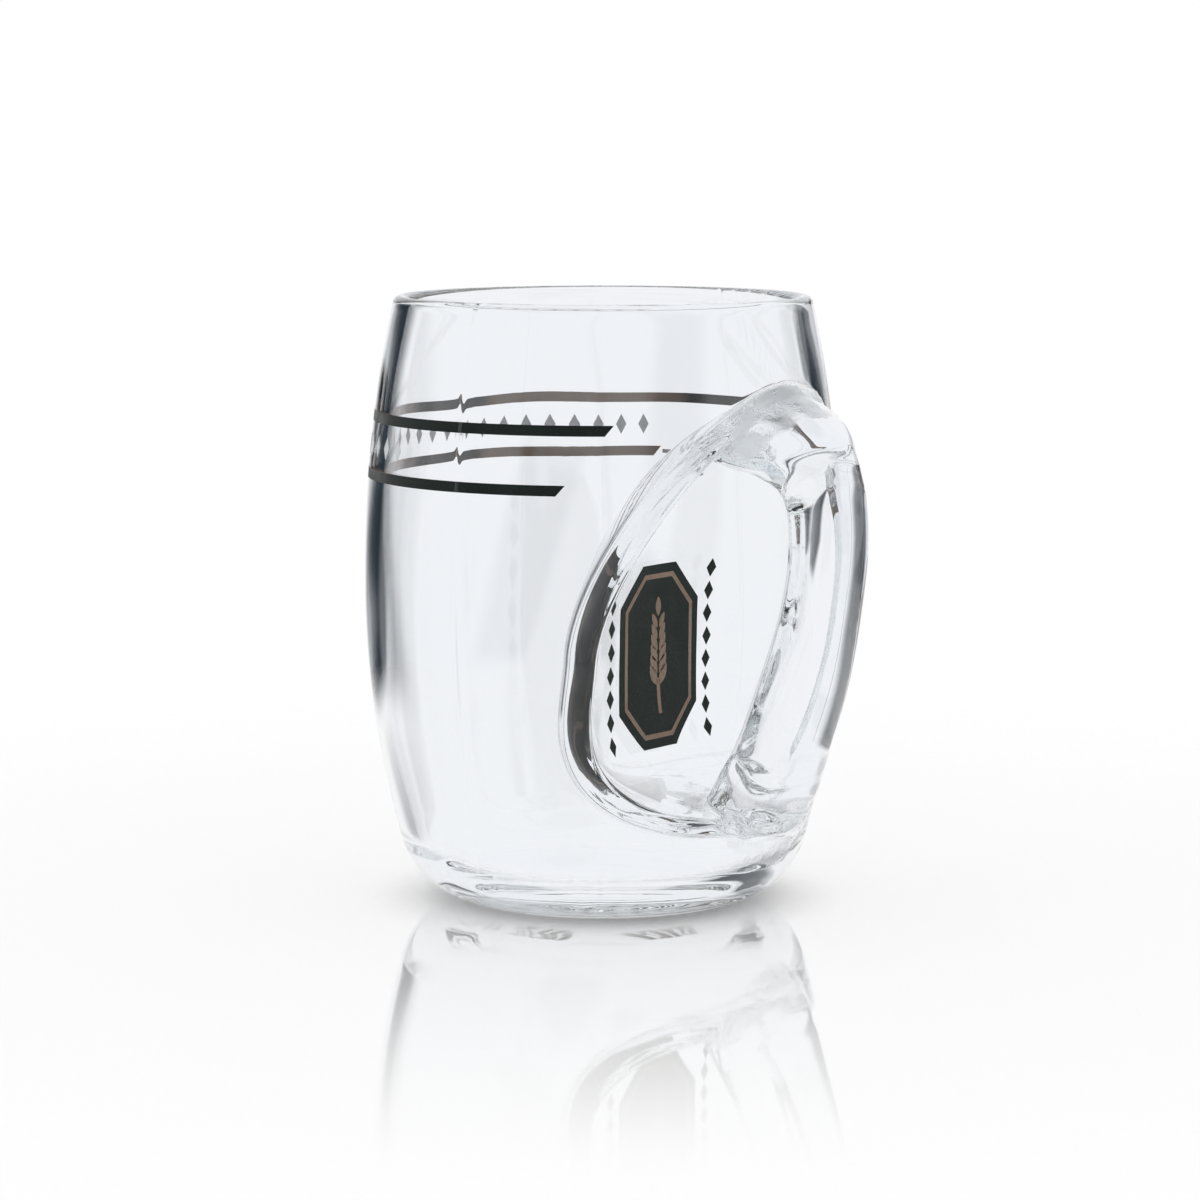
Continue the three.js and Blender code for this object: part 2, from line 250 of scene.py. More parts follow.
def hollow_x(y, z):
    """From the panel's x to the barrel's x at the outline, by share^power, share being the way out to it.
    Towards the foot, sine ripples run along the outline."""
    rise = z - HOLLOW_LEVEL
    away = np.maximum(np.hypot(y, rise), 1e-9)
    reach = outline_reach(rise / away)
    edge_radius = barrel_radius(np.clip(HOLLOW_LEVEL + rise * reach / away, 0, BODY_HEIGHT))
    edge_x = np.sqrt(np.maximum(edge_radius**2 - (y * reach / away) ** 2, 1))
    downwards = np.maximum(-rise / away, 0) ** 2
    power = SCOOP_POWER + (SCOOP_FOOT_POWER - SCOOP_POWER) * downwards
    low, high = RIPPLE_SHARES
    rippled = RIPPLE_HEIGHT * downwards * np.clip((away / reach - low) / (high - low), 0, 1)
    ripple = rippled * np.sin(2 * math.pi * (away - reach) / RIPPLE_LENGTH)
    return PANEL_TO_AXIS + (edge_x - PANEL_TO_AXIS) * np.minimum(away / reach, SCOOP_LIMIT) ** power + ripple


def hollow_normal(y, z, step=0.05):
    """The unit vector (1, -dx/dy, -dx/dz), from differences, which points out of the scoop."""
    slope_y = (hollow_x(y + step, z) - hollow_x(y - step, z)) / (2 * step)
    slope_z = (hollow_x(y, z + step) - hollow_x(y, z - step)) / (2 * step)
    length = np.sqrt(1 + slope_y**2 + slope_z**2)
    return 1 / length, -slope_y / length, -slope_z / length


# %% Setting the hollow in and rounding it off
def inset_hollow_x(y, z, inset, rounds=10):
    """The scoop set in by a distance along its normal: find the scoop's point whose inset lands on (y, z)."""
    at_y, at_z = np.array(y, float), np.array(z, float)
    for _ in range(rounds):
        _, normal_y, normal_z = hollow_normal(at_y, at_z)
        at_y, at_z = y + inset * normal_y, z + inset * normal_z
    normal_x, _, _ = hollow_normal(at_y, at_z)
    return hollow_x(at_y, at_z) - inset * normal_x


def smooth_min(a, b, round_off):
    """The lesser of two, with the edge between them rounded off where they differ by less than round_off."""
    near = np.maximum(round_off - np.abs(a - b), 0) / round_off
    return np.minimum(a, b) - near**2 * round_off / 4


hollow_depth = panel_radius - PANEL_TO_AXIS
print("the hollow is", round(2 * (hollow_half_width - OUTLINE_INSET)), "mm wide")
print("and its panel lies", round(hollow_depth), "mm in from the barrel")

# %% [markdown]
# ## The glass body
#
# A lathe could turn this barrel, but not the hollow. So the body is one sheet: rows follow the wall's
# outline up the outside, over the lip and down the inside, and columns go round. Where a column meets
# the scoop, the smaller of the two distances wins, rounded off at the edge as hot glass is. The inside
# repeats the scoop a wall's thickness deeper. An edge that crosses a plain grid aslant comes out
# serrated, so the rows draw together in each column where the edge is. Two faint ridges are the
# mould's seams, and a slow wave on the inside is what blowing leaves.

# %% Outlines of the wall
WALL = 4.5
CLOSER = 6.0

lip_radius = WALL / 2
lip_angle = math.asin((BODY_HEIGHT - lip_radius - BELLY_LEVEL) / (UPPER_ARC_RADIUS - lip_radius))


def arc(centre, radius, start, end, steps):
    """Points on a circle at equal angles from start to end, the first one left out."""
    angle = np.linspace(start, end, steps + 1)[1:]
    return np.stack([centre[0] + radius * np.cos(angle), centre[1] + radius * np.sin(angle)], -1)


def wall_outline(heel_radius, floor_level, inset, wall_steps, heel_steps):
    """One side of the wall, radius and level, from where its heel leaves the floor up to the lip."""
    heel = heel_centre(heel_radius, floor_level, inset)
    lower = (BELLY_RADIUS - LOWER_ARC_RADIUS, BELLY_LEVEL)
    upper = (BELLY_RADIUS - UPPER_ARC_RADIUS, BELLY_LEVEL)
    heel_angle = math.atan2(heel[1] - lower[1], heel[0] - lower[0])
    return np.concatenate([
        arc(heel, heel_radius, -math.pi / 2, heel_angle, heel_steps),
        arc(lower, LOWER_ARC_RADIUS - inset, heel_angle, 0, wall_steps // 2),
        arc(upper, UPPER_ARC_RADIUS - inset, 0, lip_angle, wall_steps // 2),
    ])


def bunched(outline, turn, count, scoop, rounding):
    """Points shared out along an outline, radius and level, in each column.

    A stretch counts 1 + CLOSER / (1 + (gap / rounding)^2) times its length, gap being how far the wall
    lies from the scoop in x, so the points draw together where the wall crosses the hollow's edge.
    """
    length = np.append(0, np.cumsum(np.hypot(*np.diff(outline, axis=0).T)))
    z = outline[:, 1:] + 0 * turn
    x, y = outline[:, :1] * np.cos(turn), outline[:, :1] * np.sin(turn)
    gap = np.where(x > 0, x - scoop(y, z), np.inf)
    weight = 1 + CLOSER / (1 + (gap / rounding) ** 2)
    counted = np.cumsum(np.diff(length)[:, None] * (weight[1:] + weight[:-1]) / 2, 0)
    counted = np.concatenate([np.zeros((1, len(turn))), counted])
    share = np.linspace(0, 1, count + 1)[1:]
    place = np.stack([np.interp(share, column / column[-1], length) for column in counted.T], -1)
    return np.stack([np.interp(place, length, outline[:, k]) for k in (0, 1)], -1)


def all_round(outline, turn):
    """The same points, radius and level, in every column."""
    return np.repeat(outline[:, None], len(turn), 1)


def floor_outline(heel_radius, floor_level, inset, steps):
    """The flat part of a floor from near the axis to where the heel starts."""
    radius = np.linspace(0, heel_centre(heel_radius, floor_level, inset)[0], steps + 1)[1:]
    return np.stack([radius, np.full(steps, floor_level)], -1)


# %% Columns, seams and waves
HOLLOW_TURN = math.radians(75)
SEAM_TURN = math.radians(-91.2)
SEAM_HEIGHT = 0.14
SEAM_HALF_WIDTH = 0.8
WAVE_HEIGHT = 0.07


def turns(coarse, fine, seam_step):
    """Angles round the axis: fine over the hollow, coarse behind it, very fine at its sides and the seams."""
    front = np.arange(-HOLLOW_TURN, HOLLOW_TURN, math.radians(fine))
    back = np.arange(HOLLOW_TURN, 2 * math.pi - HOLLOW_TURN, math.radians(coarse))
    near = np.arange(-4, 4.01, 1) * math.radians(seam_step)
    side = np.arange(-12, 8.01, 1) * math.radians(seam_step)
    edge = HOLLOW_HALF_ANGLE + side
    spots = [SEAM_TURN + near, SEAM_TURN + math.pi + near, edge, -edge]
    all_turns = np.concatenate([front, back, *spots])
    all_turns = np.sort(np.mod(all_turns, 2 * math.pi))
    return all_turns[np.append(True, np.diff(all_turns) > math.radians(0.1))]


def seam_ridge(turn, radius):
    """A low ridge, exp(-(distance / half width)^2), along the two seams of the mould."""
    off = np.mod(turn - SEAM_TURN + math.pi / 2, math.pi) - math.pi / 2
    return SEAM_HEIGHT * np.exp(-((off * radius / SEAM_HALF_WIDTH) ** 2))


def blown_wave(turn, z):
    """A slow uneven wave: a sum of three sines of the turn and the level."""
    return WAVE_HEIGHT * (
        np.sin(5 * turn + 0.045 * z)
        + 0.7 * np.sin(9 * turn - 0.08 * z + 1.3)
        + 0.5 * np.sin(3 * turn + 0.13 * z + 2.1)
    )


# %% The body's sheet
HOLLOW_EDGE_ROUND = 6.0
INNER_EDGE_ROUND = 5.0
HOLLOW_WALL = 5.8
BASE_THICKNESS = 9.0
INNER_HEEL_RADIUS = 16.0
OUTER_ROWS = 132
INNER_ROWS = 96
# Lengths over which the wave dies out above the floor and below the rim, and the seam above the foot
WAVE_FOOT_FADE = 20.0
WAVE_RIM_FADE = 8.0
SEAM_START = 8.0
SEAM_FADE = 20.0
CORE_INSET = 2.0


def outside_x(x, y, z, inset=0.0):
    """The outside of the wall as x over (y, z), set in by a distance: barrel or scoop, whichever is less."""
    scoop = inset_hollow_x(y, z, inset) if inset else hollow_x(y, z)
    return np.where(x > 0, smooth_min(x, scoop, HOLLOW_EDGE_ROUND), x)


def inner_scoop(y, z):
    """The scoop as it shows on the inside, a wall's thickness deeper."""
    return inset_hollow_x(y, z, HOLLOW_WALL)


def body_sheet():
    """Rows along the wall's outline, columns round the axis; the front is cut back to the scoop."""
    turn = turns(2.2, 1.0, 0.35)
    outer_wall = wall_outline(HEEL_RADIUS, 0, 0, 400, 80)
    inner_wall = wall_outline(INNER_HEEL_RADIUS, BASE_THICKNESS, WALL, 400, 80)
    lip_centre = (outer_wall[-1, 0] - lip_radius * math.cos(lip_angle), BODY_HEIGHT - lip_radius)
    outer = np.concatenate([
        all_round(floor_outline(HEEL_RADIUS, 0, 0, 6), turn),
        bunched(outer_wall, turn, OUTER_ROWS, hollow_x, HOLLOW_EDGE_ROUND),
        all_round(arc(lip_centre, lip_radius, lip_angle, lip_angle + math.pi, 12), turn),
    ])
    inner = np.concatenate([
        all_round(floor_outline(INNER_HEEL_RADIUS, BASE_THICKNESS, WALL, 6), turn),
        bunched(inner_wall, turn, INNER_ROWS, inner_scoop, INNER_EDGE_ROUND)[:-1],
    ])[::-1]
    radius, z = np.moveaxis(np.concatenate([outer, inner]), -1, 0)
    inside = (np.arange(len(z)) >= len(outer))[:, None]
    fade = np.clip(z / WAVE_FOOT_FADE, 0, 1) * np.clip((BODY_HEIGHT - 1 - z) / WAVE_RIM_FADE, 0, 1)
    ridge = seam_ridge(turn, radius) * np.clip((z - SEAM_START) / SEAM_FADE, 0, 1)
    radius = radius + np.where(inside, blown_wave(turn, z) * fade, ridge)
    x, y = radius * np.cos(turn), radius * np.sin(turn)
    bulge = smooth_min(x, inner_scoop(y, z), INNER_EDGE_ROUND)
    x = np.where(inside, np.where(x > 0, bulge, x), outside_x(x, y, z))
    return np.stack([x, y, z], -1)


def core_sheet():
    """The body's outside set in by part of the wall, as a plug that trims the handle's sunk ends."""
    turn = turns(4.0, 1.6, 2.0)
    outer = np.concatenate([floor_outline(HEEL_RADIUS, 0, 0, 2), wall_outline(HEEL_RADIUS, 0, 0, 60, 6)])
    radius, z = outer.T
    radius = np.maximum(radius - CORE_INSET, 0.5)[:, None]
    z = np.repeat(np.maximum(z, CORE_INSET)[:, None], len(turn), 1)
    x, y = radius * np.cos(turn), radius * np.sin(turn)
    return np.stack([outside_x(x, y, z, CORE_INSET), y, z], -1)


glass_body = make_piece("glass_body_sheet", tube(body_sheet()))
handle_core = make_piece("handle_core", tube(core_sheet()))

# %% [markdown]
# ## The handle
#
# The handle is a second gather of glass, drawn into a flattened bar. Its head is pressed onto the wall
# above the hollow, where it spreads and droops, and its foot below. A section is carried along a centre
# line: rows are stations down the bar, columns go round the section. Near the two welds the surface is
# uneven, as the tool and the cooling glass left it.

# %% Stations down the handle
GRIP_STANDOFF = 8.5
HEAD_SINK = 22.0
FOOT_SINK = 11.5
GRIP_WIDTH = 26.5
GRIP_THICKNESS = 18.2
HEAD_WIDTH = 54.0
FOOT_WIDTH = 42.0
WELD_THICKNESS = 20.5


def flare(end_width, share):
    """Width on the way from the grip to an end of the bar."""
    return GRIP_WIDTH + (end_width - GRIP_WIDTH) * share


# Share of the hollow's height below its top, distance outside the barrel, width, thickness
HANDLE_STATIONS = np.array([
    (0.042, -HEAD_SINK, HEAD_WIDTH, WELD_THICKNESS),
    (0.09, -HEAD_SINK / 13, flare(HEAD_WIDTH, 0.67), WELD_THICKNESS),
    (0.195, GRIP_STANDOFF * 0.8, flare(HEAD_WIDTH, 0.12), GRIP_THICKNESS),
    (0.335, GRIP_STANDOFF, GRIP_WIDTH, GRIP_THICKNESS),
    (0.5, GRIP_STANDOFF * 0.68, flare(FOOT_WIDTH, 0.1), GRIP_THICKNESS),
    (0.66, GRIP_STANDOFF * 0.2, flare(FOOT_WIDTH, 0.5), GRIP_THICKNESS),
    (0.82, -FOOT_SINK / 4, flare(FOOT_WIDTH, 0.75), GRIP_THICKNESS),
    (0.94, -FOOT_SINK * 0.6, FOOT_WIDTH, WELD_THICKNESS),
    (1.065, -FOOT_SINK, FOOT_WIDTH, WELD_THICKNESS),
])
print("the handle has", len(HANDLE_STATIONS), "stations")

# %% The handle's sheet
HEAD_DROOP = 9.0
HEAD_LENGTH = 30.0
FOOT_LENGTH = 14.0
SECTION_POWER = 2.3
WELD_WAVE = 0.3
HANDLE_ROWS = 150
HANDLE_COLUMNS = 72


def smooth_path(points, along):
    """A curve through all points, each span a cubic whose end slopes are half the step across its ends."""
    padded = np.concatenate([[2 * points[0] - points[1]], points, [2 * points[-1] - points[-2]]])
    place = np.clip(along * (len(points) - 1), 0, len(points) - 1 - 1e-9)
    span = place.astype(int)
    t = (place - span)[:, None]
    a, b, c, d = (padded[span + k] for k in range(4))
    slope, next_slope = (c - a) / 2, (d - b) / 2
    return (
        (2 * t**3 - 3 * t**2 + 1) * b
        + (t**3 - 2 * t**2 + t) * slope
        + (3 * t**2 - 2 * t**3) * c
        + (t**3 - t**2) * next_slope
    )


def handle_sheet():
    """A superellipse (|cos|^(2/p), |sin|^(2/p)) carried down the centre line, across y and outwards."""
    hollow_height = HOLLOW_TOP - HOLLOW_FOOT_LEVEL
    level = HOLLOW_TOP - HANDLE_STATIONS[:, 0] * hollow_height
    stations = np.stack([barrel_radius(level) + HANDLE_STATIONS[:, 1], level, *HANDLE_STATIONS[:, 2:].T], -1)
    along = np.linspace(0, 1, HANDLE_ROWS)
    x, z, width, thickness = smooth_path(stations, along).T
    heading = np.stack([np.gradient(x), np.gradient(z)])
    heading /= np.hypot(*heading)
    angle = np.linspace(0, 2 * math.pi, HANDLE_COLUMNS, endpoint=False)
    side = np.sign(np.cos(angle)) * np.abs(np.cos(angle)) ** (2 / SECTION_POWER)
    out = np.sign(np.sin(angle)) * np.abs(np.sin(angle)) ** (2 / SECTION_POWER)
    head = np.clip(1 - (HOLLOW_TOP - z) / HEAD_LENGTH, 0, None)[:, None]
    foot = np.clip(1 - (z - HOLLOW_FOOT_LEVEL) / FOOT_LENGTH, 0, None)[:, None]
    wave = np.sin(0.42 * z[:, None] + 3 * angle) + np.sin(0.9 * z[:, None] - 5 * angle + 1)
    outwards = thickness[:, None] / 2 * out + WELD_WAVE * np.maximum(head, foot) * wave
    across = width[:, None] / 2 * side
    droop = HEAD_DROOP * head * side**2
    return np.stack([
        x[:, None] - heading[1][:, None] * outwards,
        across,
        z[:, None] + heading[0][:, None] * outwards - droop,
    ], -1)


glass_handle = make_piece("glass_handle_sheet", tube(handle_sheet()))

# %% [markdown]
# ## Fusing body and handle
#
# On the real mug there is no joint: the two gathers are one piece of glass. Two glass meshes that only
# overlap would show their hidden faces inside. So the handle's sunk ends are trimmed inside the wall,
# and a Boolean union makes one watertight skin. Molten glass leaves no sharp corner at a weld, so the
# points near the union's line are drawn towards their neighbours until they form a fillet. Where the
# head and the foot were pressed on, the skin is milky, and a value per point says how much.


# %% One piece of glass
def boolean(piece, other, operation):
    """Applies a Boolean with another object to a piece's mesh and removes that object."""
    modifier = piece.modifiers.new("boolean", "BOOLEAN")
    modifier.operation = operation
    modifier.object = other
    modifier.solver = "MANIFOLD"
    graph = bpy.context.evaluated_depsgraph_get()
    result = bpy.data.meshes.new_from_object(piece.evaluated_get(graph))
    piece.modifiers.clear()
    piece.data = result
    bpy.data.objects.remove(other)


boolean(glass_handle, handle_core, "DIFFERENCE")
boolean(glass_body, glass_handle, "UNION")
mug_glass = glass_body
mug_glass.name = mug_glass.data.name = "mug_glass"
mug_glass.data.polygons.foreach_set("use_smooth", np.ones(len(mug_glass.data.polygons), bool))
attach(mug_glass, "root")
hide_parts("glass_body", "glass_handle")
mug_glass.data.calc_loop_triangles()
print("the fused glass has", len(mug_glass.data.loop_triangles), "triangles")


# %% Helpers for the welds
def eased(share):
    """0 below 0, 1 above 1 and 3t^2 - 2t^3 between."""
    t = np.clip(share, 0, 1)
    return t * t * (3 - 2 * t)


def proud_of_body(points):
    """How far each point stands out of the body's outside, in x; the handle's points are the ones that do."""
    x, y, z = points.T
    wall_x = np.sqrt(np.maximum(barrel_radius(np.clip(z, 0, BODY_HEIGHT)) ** 2 - y**2, 0))
    return np.where(x > 5, x - outside_x(wall_x, y, z), -1)


def distance_to(points, targets, block=2000):
    """The distance from each point to the nearest target, some points at a time."""
    nearest = []
    for k in range(0, len(points), block):
        apart = points[k : k + block, None] - targets
        nearest.append(np.sqrt((apart**2).sum(-1)).min(1))
    return np.concatenate(nearest)


def relaxed(points, edges, weight, rounds):
    """Each round moves a point by half its weight towards the mean of its neighbours along the edges."""
    ends, others = np.concatenate([edges, edges[:, ::-1]]).T
    count = np.bincount(ends, minlength=len(points))
    for _ in range(rounds):
        sums = [np.bincount(ends, points[others, k], len(points)) for k in range(3)]
        mean = np.stack(sums, -1) / count[:, None]
        points = points + 0.5 * weight[:, None] * (mean - points)
    return points


# %% Fillets at the welds
FILLET_REACH = 4.0
FILLET_ROUNDS = 40
ON_HANDLE = 0.02
# Points of the handle and round its welds have x above the first value and y within the second
HANDLE_ZONE = (25, 45)

skin = mug_glass.data
points = np.empty(3 * len(skin.vertices), np.float32)
skin.vertices.foreach_get("co", points)
points = points.reshape(-1, 3).astype(float) / MM
edges = np.empty(2 * len(skin.edges), np.int32)
skin.edges.foreach_get("vertices", edges)
edges = edges.reshape(-1, 2)
on_handle = proud_of_body(points) > ON_HANDLE
crossing = edges[on_handle[edges[:, 0]] != on_handle[edges[:, 1]]]
weld_points = np.unique(crossing[~on_handle[crossing]])
in_zone = (points[:, 0] > HANDLE_ZONE[0]) & (np.abs(points[:, 1]) < HANDLE_ZONE[1])
near_handle = np.nonzero(in_zone)[0]
weight = np.zeros(len(points))
weight[near_handle] = eased(1 - distance_to(points[near_handle], points[weld_points]) / FILLET_REACH)
points = relaxed(points, edges, weight, FILLET_ROUNDS)
skin.vertices.foreach_set("co", (points * MM).astype(np.float32).ravel())
skin.update()
print("the welds run through", len(weld_points), "points")

# %% Milky skin at the welds
# A plane across the head and one across the foot: slope of level against x, level where x is 0, softness
HEAD_SKIN = (1.26, 46.0, 3.0)
FOOT_SKIN = (-0.97, 81.0, 4.0)
# Only the head's upper side is milky: faces along this way, with a soft limit
HEAD_FACING = np.array([0.6, 0.0, 0.8])
FACING_START = 0.7

facing = np.empty(3 * len(points), np.float32)
skin.vertex_normals.foreach_get("vector", facing)
upward = eased(FACING_START + facing.reshape(-1, 3) @ HEAD_FACING)
head_skin = upward * eased((points[:, 2] - HEAD_SKIN[0] * points[:, 0] - HEAD_SKIN[1]) / HEAD_SKIN[2])
foot_skin = eased((FOOT_SKIN[0] * points[:, 0] + FOOT_SKIN[1] - points[:, 2]) / FOOT_SKIN[2])
milky = np.where(on_handle | (weight > 0.5), np.maximum(head_skin, foot_skin), 0)
skin.attributes.new("milky", "FLOAT", "POINT").data.foreach_set("value", milky.astype(np.float32))
skin.update()
print("the skin is milky at", int((milky > 0.5).sum()), "points")

# %% [markdown]
# ## Glass
#
# Clear glass is one Principled shader with full transmission. It has hardly a colour of its own: its dark
# edges are the surroundings, bent into view, and only a trace of light is taken on a long way through it.
# The pressed skin at the welds is rough and wrinkled, which scatters the light and looks milky.


# %% Helpers for nodes
def new_material(name):
    """A material with an empty node tree, for the nodes of one finish."""
    material = bpy.data.materials.new(name)
    material.use_nodes = True
    tree = material.node_tree
    tree.nodes.clear()
    return material, tree.nodes, tree.links


def math_node(nodes, links, operation, *values):
    """A Math node whose inputs are numbers or sockets."""
    node = nodes.new("ShaderNodeMath")
    node.operation = operation
    for socket, value in zip(node.inputs, values):
        if isinstance(value, (int, float)):
            socket.default_value = value
        else:
            links.new(value, socket)
    return node.outputs[0]


def smooth_step(nodes, links, value, low, high, to_low=0.0, to_high=1.0):
    """A Map Range node that eases from one value to another."""
    node = nodes.new("ShaderNodeMapRange")
    node.interpolation_type = "SMOOTHSTEP"
    for name, number in (("From Min", low), ("From Max", high), ("To Min", to_low), ("To Max", to_high)):
        node.inputs[name].default_value = number
    links.new(value, node.inputs["Value"])
    return node.outputs["Result"]


def noise(nodes, links, vector, scale, detail):
    """A Noise Texture's value at a place, with that many waves to the metre."""
    node = nodes.new("ShaderNodeTexNoise")
    node.inputs["Scale"].default_value = scale
    node.inputs["Detail"].default_value = detail
    links.new(vector, node.inputs["Vector"])
    return node.outputs["Fac"]


# %% The glass material
GLASS_IOR = 1.5
GLASS_TINT = (0.985, 0.99, 0.995, 1)
ABSORB_COLOR = (0.4, 0.55, 0.6, 1)
ABSORB_PER_METRE = 0.6
MILKY_ROUGHNESS = 0.42
WRINKLE_HEIGHT = 0.6
WRINKLES_PER_METRE = 130.0
MILKY_CLOUDS = (0.3, 0.6)


def glass_material():
    """Full transmission with a faint absorption inside; rough and wrinkled where the skin is milky."""
    material, nodes, links = new_material("clear_glass")
    output = nodes.new("ShaderNodeOutputMaterial")
    shader = nodes.new("ShaderNodeBsdfPrincipled")
    shader.inputs["Base Color"].default_value = GLASS_TINT
    shader.inputs["IOR"].default_value = GLASS_IOR
    shader.inputs["Transmission Weight"].default_value = 1.0
    skin = nodes.new("ShaderNodeAttribute")
    skin.attribute_name = "milky"
    place = nodes.new("ShaderNodeTexCoord").outputs["Object"]
    wrinkles = noise(nodes, links, place, WRINKLES_PER_METRE, 4.0)
    cloudy = smooth_step(nodes, links, wrinkles, *MILKY_CLOUDS, 0.25 * MILKY_ROUGHNESS, MILKY_ROUGHNESS)
    links.new(math_node(nodes, links, "MULTIPLY", skin.outputs["Fac"], cloudy), shader.inputs["Roughness"])
    bump = nodes.new("ShaderNodeBump")
    bump.inputs["Distance"].default_value = WRINKLE_HEIGHT * MM
    height = math_node(nodes, links, "SUBTRACT", wrinkles, 0.5)
    links.new(math_node(nodes, links, "MULTIPLY", skin.outputs["Fac"], height), bump.inputs["Height"])
    links.new(bump.outputs["Normal"], shader.inputs["Normal"])
    links.new(shader.outputs["BSDF"], output.inputs["Surface"])
    absorb = nodes.new("ShaderNodeVolumeAbsorption")
    absorb.inputs["Color"].default_value = ABSORB_COLOR
    absorb.inputs["Density"].default_value = ABSORB_PER_METRE
    links.new(absorb.outputs["Volume"], output.inputs["Volume"])
    return material


mug_glass.data.materials.clear()
mug_glass.data.materials.append(glass_material())
print("the mug is made of", mug_glass.data.materials[0].name)

# %% [markdown]
# ## Prints as thin shells
#
# The prints are enamel and lustre fired onto the glass, a few hundredths of a millimetre thick. A sheet
# with no thickness would flicker against the glass, so each print is a closed shell: one sheet just
# under the glass's surface, one just proud of it, and a strip round their border. The value "under"
# marks the lower sheet, which is the side seen through the glass.

# %% Shells on the barrel and in the hollow
INK_SUNK = 0.05
INK_PROUD = 0.08


def strip(loop, count):
    """Quads from the upper sheet's border, a closed loop, to the lower one's, count vertices on."""
    a, b = loop, np.roll(loop, -1)
    return np.stack([b, a, a + count, b + count], -1)


def shell(upper, lower, wrap_rows=False):
    """Two sheets of one shape, back to back, with strips that join their borders."""
    rows, columns = upper.shape[:2]
    count = rows * columns
    face = sheet_quads(rows, columns, wrap_rows, False)
    number = np.arange(count).reshape(rows, columns)
    if wrap_rows:
        sides = [strip(number[::-1, 0], count), strip(number[:, -1], count)]
    else:
        border = np.concatenate([number[0, :-1], number[:-1, -1], number[-1, :0:-1], number[:0:-1, 0]])
        sides = [strip(border, count)]
    points = np.concatenate([upper.reshape(-1, 3), lower.reshape(-1, 3)])
    return points, [face, face[:, ::-1] + count, *sides]


def on_barrel(turn, z, rise):
    """Points on the barrel at a turn and level, moved out by a rise."""
    radius = barrel_radius(z) + rise
    return np.stack(np.broadcast_arrays(radius * np.cos(turn), radius * np.sin(turn), z), -1)


def on_hollow(y, z, rise):
    """Points on the hollow's wall at (y, z), moved out along its normal by a rise."""
    normal = hollow_normal(y, z)
    spot = (hollow_x(y, z), y, z)
    return np.stack(np.broadcast_arrays(*(p + rise * n for p, n in zip(spot, normal))), -1)


def print_shell(place, first, second, proud=INK_PROUD, wrap_rows=False):
    """A shell over one grid of surface coordinates."""
    return shell(place(first, second, proud), place(first, second, -INK_SUNK), wrap_rows)


def make_print(name, shells, slot, *nodes):
    """One piece from several shells, riding on the mug; the lower half of each shell is marked under."""
    under = np.concatenate([np.arange(len(points)) >= len(points) // 2 for points, _ in shells])
    piece = make_piece(name, joined(shells), {"under": under})
    piece.data.set_sharp_from_angle(angle=math.radians(50))
    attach(piece, "root")
    if nodes:
        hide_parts(*nodes)
    return piece


# %% [markdown]
# ## The bands, the filling line and the row of lozenges
#
# Two bands run round the shoulder, open towards the handle, with ends cut on a slant. The short filling
# line carries on from the lower one. Between the bands runs a row of small pale lozenges.

# %% Prints on the barrel
BAND_HEIGHT = 2.9
UPPER_BAND_LEVEL = BODY_HEIGHT - 33.3
LOWER_BAND_LEVEL = UPPER_BAND_LEVEL - 16.0
BAND_END_SLANT = 2.2
UPPER_BAND_TURNS = (53, 307)
LOWER_BAND_TURNS = (110, 295.5)
FILL_MARK_HEIGHT = 1.1
FILL_MARK_TURNS = (102.5, 108.5)
ROW_TURNS = (114.0, 246.0)
ROW_COUNT = 21
LOZENGE_HEIGHT = 6.0
LOZENGE_WIDTH = 3.6


def band(level, height, span, slant):
    """A strip round the barrel: columns up its height, rows along it, ends slanted outwards at the top."""
    start, end = span
    along = np.linspace(0, 1, int(abs(end - start)) + 2)[:, None]
    up = np.linspace(-0.5, 0.5, 5)[None, :]
    turn = np.radians(start - slant * up + (end - start + 2 * slant * up) * along)
    return print_shell(on_barrel, turn, level + height * up + 0 * along)


def lozenge(across, up, width, height, place):
    """A rhombus of that width and height, its columns drawn together towards both tips."""
    t = np.linspace(-0.99, 0.99, 9)[:, None]
    s = np.linspace(-1, 1, 5)[None, :]
    return print_shell(place, across + width / 2 * s * (1 - np.abs(t)), up + height / 2 * t + 0 * s)


def row_on_barrel(across, z, rise):
    """on_barrel for a distance in millimetres along the row's own circle."""
    return on_barrel(across / BELLY_RADIUS, z, rise)


upper_strip = band(UPPER_BAND_LEVEL, BAND_HEIGHT, UPPER_BAND_TURNS, BAND_END_SLANT)
lower_strip = band(LOWER_BAND_LEVEL, BAND_HEIGHT, LOWER_BAND_TURNS, BAND_END_SLANT)
mark_strip = band(LOWER_BAND_LEVEL, FILL_MARK_HEIGHT, FILL_MARK_TURNS, 0)
upper_band = make_print("upper_band_ink", [upper_strip], "band_print", "upper_band")
lower_band = make_print("lower_band_ink", [lower_strip], "band_print", "lower_band")
fill_mark = make_print("fill_mark_ink", [mark_strip], "pale_print", "fill_mark")
row_level = (UPPER_BAND_LEVEL + LOWER_BAND_LEVEL) / 2
row_places = np.radians(np.linspace(*ROW_TURNS, ROW_COUNT)) * BELLY_RADIUS
lozenge_row = make_print(
    "lozenge_row",
    [lozenge(place, row_level, LOZENGE_WIDTH, LOZENGE_HEIGHT, row_on_barrel) for place in row_places],
    "pale_print",
)

# %% [markdown]
# ## The emblem
#
# The hollow's wall carries an eight-sided dark field with a bronze frame and an ear of barley, and a
# column of small lozenges on each side. All of it is worked out flat, as sideways and upwards distances,
# and then laid onto the scoop.

# %% The emblem's field and frame
EMBLEM_WIDTH = 38.0
EMBLEM_HEIGHT = 52.0
EMBLEM_CORNER = 11.0
EMBLEM_LEVEL = HOLLOW_LEVEL - 6.0
FRAME_INSET = 2.6
FRAME_LINE = 1.4
LUSTRE_PROUD = 0.14


